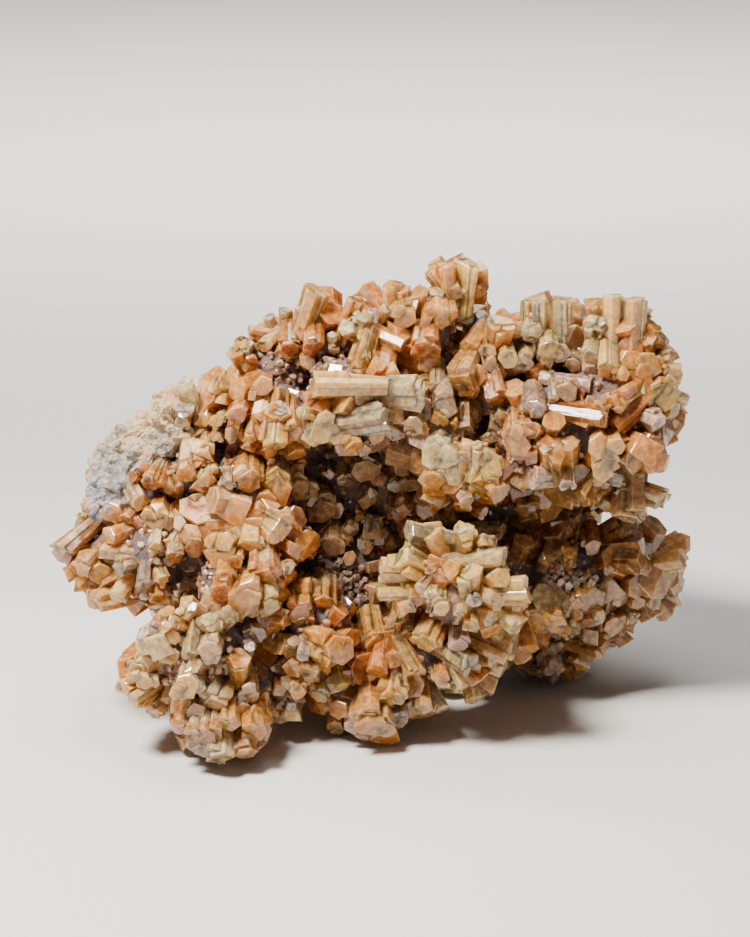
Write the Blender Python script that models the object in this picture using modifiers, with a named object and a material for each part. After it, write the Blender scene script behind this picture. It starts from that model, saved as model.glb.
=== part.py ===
"""An aragonite specimen: one mass of grown-together, six-sided prisms on a lumpy core.

The core is a union of round lobes. Prisms stand on it in sprays, and all of it is joined into
the one solid that the real specimen is. It rests on lobes that are cut flat at z = 0.

Metres, +Z up. The origin is on the surface that the specimen rests on, under its middle.
"""

import math
import random

import bmesh
import bpy
from mathutils import Matrix, Vector

NAME = "aragonite_cluster"

# The specimen is set out on a leaning sheet, in grid steps from the sheet's top left corner:
# right, down, and deep for how far behind the sheet a place lies, along a line from the eye.
GRID = 0.00025
SHEET_MIDDLE = (375, 468.5)
SHEET_LEAN = math.radians(16)
SHEET_PLACE = Vector((-0.00125, -0.0149, 0.0660))
EYE_DISTANCE = 0.650

RIGHT = Vector((1, 0, 0))
UP = Vector((0, math.sin(SHEET_LEAN), math.cos(SHEET_LEAN)))
INTO = Vector((0, math.cos(SHEET_LEAN), -math.sin(SHEET_LEAN)))
EYE = SHEET_PLACE - INTO * EYE_DISTANCE

# The lobes are melted together on a grid of this pitch, and this share of the faces is kept.
CORE_VOXEL = 0.0030
CORE_KEPT = 0.06
LOBE_ROUNDNESS = 3

PRISM_SIDES = 6
PRISM_TAPER = 0.93
PRISM_FLATNESS = (0.82, 1.0)
ROOT_DEPTH = 0.007
FLOOR_BLOCK = 0.4

# The prisms that cover the flanks, the back and the underside, in metres.
SEED = 23
FILL_TRIES = 150
FILL_WIDTHS = (0.0080, 0.0120)
FILL_REACHES = (0.0060, 0.0100)
FILL_SPACING = 0.0176
FILL_TILT = 0.35
# A lobe's places that face the eye more than this are left to the prisms set out by hand.
FILL_FACING = -0.05
# A place deeper than this inside another lobe is buried.
BURIED = 0.0005
# How far a covering prism may stand outside the lobes as seen from the eye.
FILL_OUTREACH = 0.0030

HONEY = (0.62, 0.33, 0.15, 1.0)
GLOSS = 0.32

# Lobes of the core, in grid steps: right, down, deep, radius.
RIDGE_LOBES = (
    (275, 375, 42, 42),
    (320, 345, 30, 39),
    (370, 340, 20, 37),
    (420, 332, 25, 39),
    (455, 292, 30, 25),
    (505, 345, 20, 32),
    (550, 343, 20, 34),
    (612, 348, 15, 38),
    (478, 378, 15, 32),
)
SHOULDER_LOBES = (
    (640, 368, 20, 28),
    (645, 410, 25, 28),
    (632, 448, 20, 28),
    (600, 415, 10, 61),
    (545, 430, 0, 56),
    (618, 480, 30, 28),
    (580, 462, 10, 36),
)
BACK_RIGHT_LOBES = (
    (560, 580, 110, 61),
    (625, 570, 115, 48),
    (590, 612, 135, 42),
    (552, 636, 172, 46),
    (650, 595, 125, 20),
)
MIDDLE_LOBES = (
    (350, 400, -15, 50),
    (430, 420, 20, 54),
    (460, 470, -10, 40),
    (460, 585, -35, 48),
    (450, 640, 5, 48),
    (400, 665, 15, 46),
    (350, 668, 20, 44),
    (372, 708, -5, 24),
    (500, 625, 20, 30),
    (285, 678, 8, 34),
)
LEFT_LOBES = (
    (280, 420, 10, 44),
    (240, 415, 25, 38),
    (180, 430, 40, 36),
    (205, 470, 30, 42),
    (240, 500, 10, 46),
    (270, 540, -5, 44),
    (200, 540, 15, 46),
    (150, 560, 5, 44),
    (102, 556, 18, 31),
    (240, 590, -25, 48),
    (310, 630, -5, 46),
)
FOOT_LOBES = (
    (203, 650, -50, 52),
    (160, 668, -36, 30),
    (222, 713, -46, 43),
)
BULK_LOBES = (
    (300, 400, 90, 66),
    (400, 370, 90, 68),
    (550, 390, 90, 66),
    (260, 480, 130, 108),
    (380, 450, 140, 112),
    (520, 440, 140, 100),
    (180, 540, 110, 60),
    (330, 580, 125, 95),
    (480, 580, 130, 84),
    (240, 620, 150, 60),
)
REAR_LOBES = (
    (335, 370, 150, 44),
    (470, 345, 115, 40),
    (615, 385, 105, 42),
    (285, 425, 210, 46),
    (400, 385, 200, 50),
    (505, 380, 190, 46),
    (590, 430, 175, 46),
    (550, 500, 205, 48),
    (445, 465, 228, 48),
    (330, 510, 228, 50),
    (225, 505, 200, 46),
    (165, 500, 120, 44),
    (185, 580, 165, 42),
    (470, 570, 210, 46),
    (385, 600, 212, 62),
    (262, 638, 215, 46),
)
# The pale rounded patch on the left flank carries no prisms.
BARE_LOBES = ((140, 488, 40, 52),)
PRISM_LOBES = (
    RIDGE_LOBES + SHOULDER_LOBES + BACK_RIGHT_LOBES + MIDDLE_LOBES + LEFT_LOBES + FOOT_LOBES
    + BULK_LOBES + REAR_LOBES
)
LOBES = PRISM_LOBES + BARE_LOBES

# The prisms of each part of the front, in grid steps and degrees: right and down of the end,
# lean (0 up, 90 right, 180 down, 270 left), toward (90 is end-on), width, reach.
RIDGE = (
    (316, 290, 20, 20, 26, 38),
    (249, 330, 280, 20, 14, 30),
    (290, 350, 180, 45, 20, 18),
    (312, 350, 180, 45, 22, 20),
    (236, 352, 330, 50, 20, 20),
    (237, 390, 250, 65, 26, 24),
    (263, 388, 180, 80, 26, 24),
    (237, 417, 200, 55, 22, 22),
    (280, 408, 0, 50, 24, 18),
    (275, 446, 185, 25, 24, 33),
    (294, 432, 175, 50, 22, 21),
    (325, 433, 180, 70, 34, 21),
    (388, 417, 80, 10, 28, 44),
    (314, 388, 270, 10, 28, 44),
    (382, 386, 188, 42, 26, 42),
    (357, 378, 195, 30, 24, 30),
    (346, 328, 300, 55, 20, 20),
    (405, 345, 115, 25, 22, 21),
    (424, 394, 94, 12, 30, 36),
    (356, 297, 20, 20, 20, 29),
    (391, 284, 350, 25, 24, 28),
)
CROWN = (
    (448, 263, 355, 20, 24, 26),
    (468, 261, 5, 20, 26, 27),
    (430, 270, 320, 20, 18, 24),
    (436, 292, 0, 50, 20, 15),
    (455, 295, 180, 50, 20, 15),
    (463, 312, 0, 60, 26, 18),
    (502, 320, 10, 45, 28, 21),
    (405, 320, 180, 60, 26, 18),
    (437, 320, 180, 55, 34, 20),
    (458, 338, 200, 45, 20, 18),
    (467, 352, 215, 40, 24, 21),
    (508, 360, 180, 70, 22, 20),
    (422, 352, 190, 50, 28, 21),
    (460, 384, 205, 50, 30, 24),
    (497, 400, 170, 30, 20, 26),
    (446, 408, 180, 60, 26, 20),
    (413, 427, 200, 60, 22, 20),
    (523, 364, 180, 65, 22, 20),
    (547, 352, 190, 60, 26, 20),
    (531, 337, 180, 60, 22, 18),
    (527, 301, 0, 10, 14, 26),
    (541, 300, 0, 12, 16, 29),
    (562, 300, 0, 12, 16, 29),
)
SHOULDER = (
    (592, 322, 350, 50, 22, 18),
    (610, 296, 0, 15, 20, 37),
    (632, 299, 0, 12, 24, 42),
    (652, 326, 30, 40, 20, 18),
    (665, 339, 60, 20, 16, 22),
    (646, 338, 0, 60, 22, 18),
    (650, 365, 90, 60, 30, 24),
    (590, 360, 200, 45, 20, 21),
    (607, 374, 185, 45, 26, 27),
    (572, 366, 180, 70, 20, 18),
    (590, 387, 100, 15, 18, 24),
    (565, 393, 180, 75, 24, 20),
    (533, 410, 180, 60, 24, 20),
    (664, 397, 120, 65, 34, 24),
    (688, 402, 110, 5, 14, 31),
    (673, 412, 120, 40, 20, 20),
    (658, 426, 120, 50, 26, 21),
    (611, 402, 240, 50, 22, 21),
    (612, 427, 230, 20, 22, 46),
    (606, 420, 100, 20, 22, 37),
    (517, 444, 180, 60, 32, 21),
    (548, 445, 350, 50, 32, 20),
    (566, 443, 350, 55, 24, 18),
    (603, 457, 180, 60, 40, 21),
    (645, 452, 120, 65, 42, 27),
    (528, 478, 265, 30, 26, 26),
    (665, 499, 110, 20, 26, 34),
    (580, 500, 215, 30, 24, 30),
    (625, 519, 185, 15, 34, 37),
    (527, 512, 190, 40, 24, 22),
)
LEFT_MIDDLE = (
    (205, 457, 180, 60, 24, 20),
    (210, 478, 180, 70, 20, 18),
    (250, 480, 180, 60, 28, 20),
    (297, 473, 180, 60, 24, 20),
    (275, 493, 180, 60, 38, 21),
    (303, 491, 150, 60, 28, 20),
    (264, 521, 88, 15, 20, 39),
    (283, 530, 120, 60, 26, 20),
    (222, 553, 230, 65, 36, 21),
    (250, 548, 180, 60, 30, 18),
    (285, 566, 30, 45, 22, 18),
    (316, 588, 80, 25, 28, 30),
    (263, 580, 180, 55, 34, 21),
    (225, 577, 180, 60, 20, 17),
    (222, 592, 200, 55, 26, 20),
    (245, 603, 190, 60, 38, 21),
    (272, 606, 150, 40, 22, 21),
    (325, 603, 180, 60, 24, 20),
    (300, 614, 180, 50, 28, 21),
)
HOLLOW = (
    (322, 513, 160, 60, 34, 20),
    (365, 471, 180, 65, 28, 20),
    (335, 546, 180, 55, 26, 18),
    (372, 532, 180, 75, 30, 22),
    (411, 487, 180, 60, 22, 17),
    (367, 503, 180, 55, 24, 17),
    (400, 513, 180, 50, 26, 18),
    (355, 447, 160, 45, 20, 20),
    (465, 431, 180, 40, 20, 18),
)
CREAM_SPRAY = (
    (445, 462, 200, 70, 42, 20),
    (487, 465, 90, 60, 36, 21),
    (433, 481, 200, 50, 24, 20),
    (480, 488, 190, 45, 28, 21),
    (499, 494, 130, 35, 24, 26),
    (470, 440, 0, 20, 28, 29),
)
STAR = (
    (407, 531, 283, 12, 30, 44),
    (504, 532, 90, 25, 20, 30),
    (400, 557, 300, 35, 28, 32),
    (379, 571, 272, 10, 24, 37),
    (377, 593, 270, 8, 17, 37),
    (366, 617, 265, 20, 28, 39),
    (450, 568, 300, 60, 22, 24),
    (470, 570, 0, 38, 27, 27),
    (500, 577, 60, 55, 26, 24),
    (527, 591, 88, 15, 24, 41),
    (503, 557, 85, 20, 20, 34),
    (465, 530, 0, 45, 24, 24),
    (489, 597, 150, 60, 20, 22),
)
BOTTOM = (
    (391, 636, 200, 55, 20, 20),
    (426, 643, 210, 45, 28, 22),
    (377, 645, 170, 50, 28, 21),
    (377, 670, 190, 50, 24, 20),
    (418, 673, 150, 35, 20, 24),
    (458, 645, 180, 50, 20, 20),
    (472, 663, 120, 35, 24, 26),
    (463, 687, 150, 20, 14, 26),
    (512, 650, 115, 15, 30, 41),
    (518, 626, 130, 20, 24, 31),
    (390, 697, 190, 50, 26, 20),
    (421, 709, 175, 45, 22, 20),
    (397, 721, 175, 40, 24, 20),
    (373, 726, 180, 50, 38, 22),
    (335, 727, 185, 40, 22, 21),
    (318, 645, 340, 60, 22, 17),
    (342, 650, 110, 40, 36, 24),
    (319, 696, 190, 45, 20, 20),
)
FOOT = (
    (160, 646, 180, 75, 38, 22),
    (148, 666, 190, 65, 28, 21),
    (145, 681, 190, 50, 24, 21),
    (125, 686, 260, 40, 20, 20),
    (134, 700, 235, 30, 20, 22),
    (154, 714, 220, 30, 20, 20),
    (180, 730, 210, 30, 22, 20),
    (187, 685, 180, 70, 28, 22),
    (240, 656, 5, 40, 26, 18),
    (259, 635, 150, 55, 20, 18),
    (211, 651, 190, 60, 24, 20),
    (211, 618, 0, 55, 20, 17),
    (249, 697, 170, 60, 24, 21),
    (215, 704, 200, 50, 28, 21),
    (233, 722, 175, 50, 22, 21),
    (257, 730, 165, 55, 24, 22),
    (205, 737, 190, 45, 30, 21),
    (222, 756, 180, 35, 28, 20),
    (247, 753, 168, 40, 24, 20),
    (199, 748, 195, 45, 20, 18),
    (186, 602, 320, 50, 24, 18),
    (143, 632, 290, 35, 24, 22),
)
LEFT_END = (
    (62, 556, 225, 25, 24, 27),
    (84, 570, 220, 50, 20, 20),
    (94, 600, 262, 35, 24, 34),
    (110, 535, 250, 45, 22, 18),
    (160, 528, 180, 60, 34, 20),
)
LEFT_FLANK = (
    (182, 386, 340, 20, 22, 26),
    (187, 408, 20, 50, 22, 17),
    (186, 475, 180, 45, 24, 20),
    (152, 484, 200, 55, 22, 17),
    (142, 504, 150, 40, 22, 17),
)
BACK_LOBE = (
    (580, 532, 100, 15, 34, 42),
    (591, 548, 180, 60, 22, 18),
    (635, 528, 60, 40, 36, 24),
    (645, 557, 90, 40, 36, 25),
    (683, 557, 80, 20, 24, 32),
    (535, 622, 190, 60, 24, 20),
    (556, 624, 180, 65, 24, 20),
    (613, 626, 150, 60, 24, 20),
    (606, 647, 100, 35, 22, 22),
    (581, 664, 170, 60, 24, 20),
    (550, 671, 180, 50, 20, 20),
)
FRONT_PRISMS = (
    RIDGE + CROWN + SHOULDER + LEFT_MIDDLE + HOLLOW + CREAM_SPRAY + STAR + BOTTOM + FOOT + LEFT_END
    + LEFT_FLANK + BACK_LOBE
)


def sheet_point(right, down, deep=0.0):
    """The world place of a place on the sheet, or of one behind it as seen from the eye."""
    across = RIGHT * (right - SHEET_MIDDLE[0]) * GRID
    upward = UP * (SHEET_MIDDLE[1] - down) * GRID
    on_sheet = SHEET_PLACE + across + upward
    return EYE + (on_sheet - EYE) * (1 + deep * GRID / EYE_DISTANCE)


def world_lobes(lobes):
    """Each lobe's centre and radius in the world."""
    return [(sheet_point(right, down, deep), radius * GRID) for right, down, deep, radius in lobes]


def line_gap(point, centre, radius):
    """How far the line from the eye through a point passes from a lobe's surface."""
    sight = (point - EYE).normalized()
    along = (centre - EYE).dot(sight)
    return (EYE + sight * along - centre).length - radius


def core_point(right, down, lobes):
    """Where the line from the eye meets the core first, or the core's place nearest to it."""
    sight = (sheet_point(right, down) - EYE).normalized()
    hits = []
    misses = []
    for centre, radius in lobes:
        along = (centre - EYE).dot(sight)
        beside = EYE + sight * along - centre
        if beside.length < radius:
            hits.append(along - math.sqrt(radius**2 - beside.length_squared))
        else:
            misses.append((beside.length - radius, centre + beside.normalized() * radius))
    if hits:
        return EYE + sight * min(hits)
    return min(misses, key=lambda miss: miss[0])[1]


def front_places(lobes):
    """Root, direction, width and reach of each prism that is set out by hand."""
    places = []
    for right, down, lean, toward, width, reach in FRONT_PRISMS:
        lean = math.radians(lean)
        toward = math.radians(toward)
        across = math.sin(lean) * math.cos(toward)
        upward = math.cos(lean) * math.cos(toward)
        axis = RIGHT * across + UP * upward - INTO * math.sin(toward)
        root = core_point(right - across * reach, down + upward * reach, lobes)
        places.append((root, axis, width * GRID, reach * GRID))
    return places


def sphere_directions(count):
    """Directions spread evenly over a sphere."""
    golden = math.pi * (3 - math.sqrt(5))
    for i in range(count):
        height = 1 - 2 * (i + 0.5) / count
        ring = math.sqrt(1 - height * height)
        yield Vector((ring * math.cos(golden * i), ring * math.sin(golden * i), height))


def fill_places(lobes, taken):
    """Root, direction, width and reach of the prisms that cover the rest of the core."""
    chance = random.Random(SEED)
    prism_lobes = world_lobes(PRISM_LOBES)
    places = []
    for centre, radius in prism_lobes:
        for outward in sphere_directions(FILL_TRIES):
            if outward.dot(INTO) < FILL_FACING:
                continue
            root = centre + outward * radius
            if any((root - other).length < size - BURIED for other, size in lobes):
                continue
            if any((root - place[0]).length < FILL_SPACING for place in taken + places):
                continue
            tilt = Vector([chance.uniform(-FILL_TILT, FILL_TILT) for _ in range(3)])
            axis = (outward + tilt).normalized()
            width = chance.uniform(*FILL_WIDTHS)
            reach = chance.uniform(*FILL_REACHES)
            tip = root + axis * reach
            if min(line_gap(tip, *lobe) for lobe in prism_lobes) > FILL_OUTREACH:
                continue
            places.append((root, axis, width, reach))
    return places


def new_object(name, bm):
    mesh = bpy.data.meshes.new(name)
    bm.to_mesh(mesh)
    bm.free()
    return bpy.data.objects.new(name, mesh)


def make_core(lobes):
    """The lobes melted into one lumpy mass."""
    bm = bmesh.new()
    for centre, radius in lobes:
        place = Matrix.Translation(centre)
        bmesh.ops.create_icosphere(bm, subdivisions=LOBE_ROUNDNESS, radius=radius, matrix=place)
    core = new_object(NAME, bm)
    melt = core.modifiers.new("melt", "REMESH")
    melt.mode = "VOXEL"
    melt.voxel_size = CORE_VOXEL
    coarsen = core.modifiers.new("coarsen", "DECIMATE")
    coarsen.ratio = CORE_KEPT
    return core


def make_prism(place, chance):
    """One six-sided prism, a little flattened, slightly narrower at its flat end."""
    root, axis, width, reach = place
    length = reach + ROOT_DEPTH
    flatten = Matrix.Diagonal((1, chance.uniform(*PRISM_FLATNESS), 1, 1))
    turn = Matrix.Rotation(chance.uniform(0, math.pi), 4, "Z")
    stand = axis.to_track_quat("Z", "Y").to_matrix().to_4x4()
    middle = Matrix.Translation(root + axis * (reach - length / 2))
    bm = bmesh.new()
    bmesh.ops.create_cone(
        bm,
        cap_ends=True,
        segments=PRISM_SIDES,
        radius1=width / 2,
        radius2=width / 2 * PRISM_TAPER,
        depth=length,
        matrix=middle @ stand @ turn @ flatten,
    )
    return new_object("prism", bm)


def make_floor_block():
    """A block whose top is the surface that the specimen rests on."""
    bm = bmesh.new()
    bmesh.ops.create_cube(bm, size=FLOOR_BLOCK, matrix=Matrix.Translation((0, 0, -FLOOR_BLOCK / 2)))
    return new_object("floor_block", bm)


def keep_outer_skin(mesh):
    """Drop the closed pockets that lie between the prisms' roots and the core."""
    bm = bmesh.new()
    bm.from_mesh(mesh)
    unseen = set(bm.faces)
    skins = []
    while unseen:
        skin = {unseen.pop()}
        edge_of_skin = list(skin)
        while edge_of_skin:
            face = edge_of_skin.pop()
            for edge in face.edges:
                for beside in edge.link_faces:
                    if beside in unseen:
                        unseen.discard(beside)
                        skin.add(beside)
                        edge_of_skin.append(beside)
        skins.append(skin)
    skins.sort(key=len)
    for skin in skins[:-1]:
        bmesh.ops.delete(bm, geom=list(skin), context="FACES")
    bm.to_mesh(mesh)
    bm.free()


def make_honey():
    honey = bpy.data.materials.new("honey_aragonite")
    honey.use_nodes = True
    surface = honey.node_tree.nodes["Principled BSDF"]
    surface.inputs["Base Color"].default_value = HONEY
    surface.inputs["Roughness"].default_value = GLOSS
    surface.inputs["Metallic"].default_value = 0.0
    return honey


def main():
    for old in list(bpy.data.objects):
        bpy.data.objects.remove(old)
    parts = bpy.data.collections.new("aragonite_specimen")
    cutters = bpy.data.collections.new("cutters")
    prisms = bpy.data.collections.new("prisms")
    for collection in (parts, cutters, prisms):
        bpy.context.scene.collection.children.link(collection)

    lobes = world_lobes(LOBES)
    core = make_core(lobes)
    parts.objects.link(core)

    front = front_places(lobes)
    places = front + fill_places(lobes, front)
    chance = random.Random(SEED)
    for place in places:
        prisms.objects.link(make_prism(place, chance))

    grow = core.modifiers.new("grow_together", "BOOLEAN")
    grow.operation = "UNION"
    grow.operand_type = "COLLECTION"
    grow.collection = prisms
    block = make_floor_block()
    cutters.objects.link(block)
    flatten = core.modifiers.new("flat_feet", "BOOLEAN")
    flatten.operation = "DIFFERENCE"
    flatten.object = block
    block.hide_render = True
    block.display_type = "WIRE"

    bpy.context.view_layer.update()
    seen = core.evaluated_get(bpy.context.evaluated_depsgraph_get())
    core.data = bpy.data.meshes.new_from_object(seen)
    core.modifiers.clear()
    for prism in list(prisms.objects):
        bpy.data.objects.remove(prism)
    bpy.data.collections.remove(prisms)
    keep_outer_skin(core.data)
    core.data.materials.clear()
    core.data.materials.append(make_honey())


main()
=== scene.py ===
"""Looks of the aragonite specimen: dark crust, prisms, druse and the pale crust on its flank.

Everything stands where the solid model has it: the lobes, the sheet that sets out the front and
the prisms are the same ones. The crust lies a little inside the lobes, and smaller prisms fill
the space between the large ones.
"""

import math
import random

import bmesh
import bpy
import numpy as np
from mathutils import Matrix, Vector, noise
from mathutils.kdtree import KDTree

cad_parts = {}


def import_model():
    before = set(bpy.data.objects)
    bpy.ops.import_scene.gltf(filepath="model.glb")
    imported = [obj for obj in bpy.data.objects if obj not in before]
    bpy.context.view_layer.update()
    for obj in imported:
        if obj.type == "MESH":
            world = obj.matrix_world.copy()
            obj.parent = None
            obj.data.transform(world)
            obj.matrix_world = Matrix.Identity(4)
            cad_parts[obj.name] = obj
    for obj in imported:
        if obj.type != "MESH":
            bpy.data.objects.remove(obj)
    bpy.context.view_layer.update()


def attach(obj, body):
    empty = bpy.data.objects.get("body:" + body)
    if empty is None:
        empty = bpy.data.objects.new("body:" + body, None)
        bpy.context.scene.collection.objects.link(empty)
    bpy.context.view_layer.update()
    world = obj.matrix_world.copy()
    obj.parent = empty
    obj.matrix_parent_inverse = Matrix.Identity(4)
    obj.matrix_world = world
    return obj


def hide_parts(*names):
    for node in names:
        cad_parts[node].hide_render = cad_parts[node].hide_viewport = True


# The front is set out on a leaning sheet, in grid steps from the sheet's top left corner:
# right, down, and deep for how far behind the sheet a place lies, along a line from the eye.
GRID = 0.00025
SHEET_MIDDLE = (375, 468.5)
SHEET_HEIGHT = 937
SHEET_LEAN = math.radians(16)
SHEET_PLACE = Vector((-0.00125, -0.0149, 0.0660))
EYE_DISTANCE = 0.650
SENSOR = 36

RIGHT = Vector((1, 0, 0))
UP = Vector((0, math.sin(SHEET_LEAN), math.cos(SHEET_LEAN)))
INTO = Vector((0, math.cos(SHEET_LEAN), -math.sin(SHEET_LEAN)))
EYE = SHEET_PLACE - INTO * EYE_DISTANCE

SEED = 23
NODE = "aragonite_cluster"

# Lobes of the core, in grid steps: right, down, deep, radius.
RIDGE_LOBES = (
    (275, 375, 42, 42), (320, 345, 30, 39), (370, 340, 20, 37), (420, 332, 25, 39),
    (455, 292, 30, 25), (505, 345, 20, 32), (550, 343, 20, 34), (612, 348, 15, 38),
    (478, 378, 15, 32),
)
SHOULDER_LOBES = (
    (640, 368, 20, 28), (645, 410, 25, 28), (632, 448, 20, 28), (600, 415, 10, 61),
    (545, 430, 0, 56), (618, 480, 30, 28), (580, 462, 10, 36),
)
BACK_RIGHT_LOBES = (
    (560, 580, 110, 61), (625, 570, 115, 48), (590, 612, 135, 42), (552, 636, 172, 46),
    (650, 595, 125, 20),
)
MIDDLE_LOBES = (
    (350, 400, -15, 50), (430, 420, 20, 54), (460, 470, -10, 40), (460, 585, -35, 48),
    (450, 640, 5, 48), (400, 665, 15, 46), (350, 668, 20, 44), (372, 708, -5, 24),
    (500, 625, 20, 30), (285, 678, 8, 34),
)
LEFT_LOBES = (
    (280, 420, 10, 44), (240, 415, 25, 38), (180, 430, 40, 36), (205, 470, 30, 42),
    (240, 500, 10, 46), (270, 540, -5, 44), (200, 540, 15, 46), (150, 560, 5, 44),
    (102, 556, 18, 31), (240, 590, -25, 48), (310, 630, -5, 46),
)
FOOT_LOBES = (
    (203, 650, -50, 52), (160, 668, -36, 30), (222, 713, -46, 43),
)
BULK_LOBES = (
    (300, 400, 90, 66), (400, 370, 90, 68), (550, 390, 90, 66), (260, 480, 130, 108),
    (380, 450, 140, 112), (520, 440, 140, 100), (180, 540, 110, 60), (330, 580, 125, 95),
    (480, 580, 130, 84), (240, 620, 150, 60),
)
REAR_LOBES = (
    (335, 370, 150, 44), (470, 345, 115, 40), (615, 385, 105, 42), (285, 425, 210, 46),
    (400, 385, 200, 50), (505, 380, 190, 46), (590, 430, 175, 46), (550, 500, 205, 48),
    (445, 465, 228, 48), (330, 510, 228, 50), (225, 505, 200, 46), (165, 500, 120, 44),
    (185, 580, 165, 42), (470, 570, 210, 46), (385, 600, 212, 62), (262, 638, 215, 46),
)
# The pale rounded patch on the left flank carries no prisms.
BARE_LOBES = ((140, 488, 40, 52),)
PRISM_LOBES = (
    RIDGE_LOBES + SHOULDER_LOBES + BACK_RIGHT_LOBES + MIDDLE_LOBES + LEFT_LOBES + FOOT_LOBES
    + BULK_LOBES + REAR_LOBES
)
LOBES = PRISM_LOBES + BARE_LOBES

# Colours of the crystal, as red, green and blue out of 255.
TONES = {
    "cream": (250, 194, 112),
    "white": (254, 214, 148),
    "honey": (232, 162, 78),
    "amber": (222, 145, 60),
    "rust": (202, 120, 54),
    "orange": (228, 146, 64),
    "peach": (238, 168, 88),
    "pink": (238, 176, 118),
    "tan": (208, 147, 80),
    "brown": (178, 124, 76),
    "smoky": (178, 144, 110),
    "olive": (182, 134, 76),
    "grey": (206, 166, 122),
    "lilac": (196, 166, 148),
    "mauve": (166, 134, 118),
    "clear": (246, 204, 142),
    "green": (206, 180, 132),
    "yellow": (240, 182, 96),
    "frost": (208, 206, 194),
    "slate": (136, 134, 130),
    "dusk": (120, 100, 90),
}
# The tones that a crystal's inside may lean to.
HEART_TONES = ("clear", "grey", "tan", "smoky", "brown", "rust", "amber", "cream")
CLEAR_TONES = ("clear", "white", "lilac", "green")
FROSTY_TONES = ("frost", "slate", "mauve", "dusk")
REAR_TONES = (
    "honey", "honey", "rust", "orange", "peach", "cream", "tan", "amber", "grey", "white", "olive",
)

# Patches of small grains in place of middling prisms, in grid steps: right, down, radius, then
# the width of a grain and the tones to choose from.
PATCHES = (
    (97, 490, 24, 7, ("frost", "frost", "slate")),
    (118, 462, 26, 8, ("frost", "frost", "pink", "green")),
    (150, 442, 30, 9, ("green", "frost", "cream", "green")),
    (186, 404, 20, 9, ("white", "frost", "cream", "green")),
    (132, 496, 14, 8, ("white", "pink", "white")),
    (102, 522, 14, 8, ("lilac", "frost", "slate")),
    (143, 580, 34, 9, ("pink", "white", "cream", "peach", "frost")),
    (194, 570, 17, 6, ("white", "pink", "mauve", "lilac")),
    (157, 617, 13, 7, ("dusk", "mauve", "lilac")),
    (246, 345, 26, 9, ("pink", "white", "peach", "tan")),
    (222, 370, 14, 9, ("peach", "pink", "tan")),
    (440, 302, 24, 9, ("white", "pink", "cream", "peach")),
    (300, 300, 16, 10, ("peach", "honey", "white")),
    (284, 378, 23, 6, ("dusk", "dusk", "mauve")),
    (318, 372, 20, 6, ("dusk", "mauve", "smoky")),
    (300, 394, 16, 6, ("dusk", "dusk", "mauve")),
    (230, 475, 18, 7, ("dusk", "mauve", "brown")),
    # The dark grains of the middle hollow and its deepest pit: partly their own colour, partly
    # painted shade.
    (345, 588, 28, 7, ("dusk", "slate", "mauve", "slate")),
    (402, 505, 16, 8, ("smoky", "dusk", "slate")),
    (215, 640, 30, 12, ("frost", "white", "green", "frost")),
    (300, 707, 22, 9, ("slate", "frost", "slate", "grey")),
    (394, 718, 14, 9, ("slate", "frost")),
    (205, 745, 26, 10, ("slate", "grey", "smoky", "olive")),
    (560, 577, 18, 8, ("lilac", "slate", "mauve")),
    (588, 582, 14, 8, ("frost", "slate", "lilac")),
    (567, 628, 21, 9, ("frost", "grey", "slate", "green")),
    (655, 600, 18, 9, ("frost", "slate", "grey")),
    (612, 640, 18, 9, ("slate", "grey", "mauve")),
)

# The pale, lumpy crust that shows on the left flank, in grid steps: right, down, radius.
PALE_LUMPS = (
    (104, 498, 19), (103, 477, 19), (113, 458, 20), (129, 441, 20),
    (147, 430, 20), (166, 417, 20), (184, 401, 20), (190, 386, 13),
    (122, 480, 17), (138, 458, 18), (160, 444, 17), (119, 505, 14),
    (176, 430, 16),
)

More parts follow.
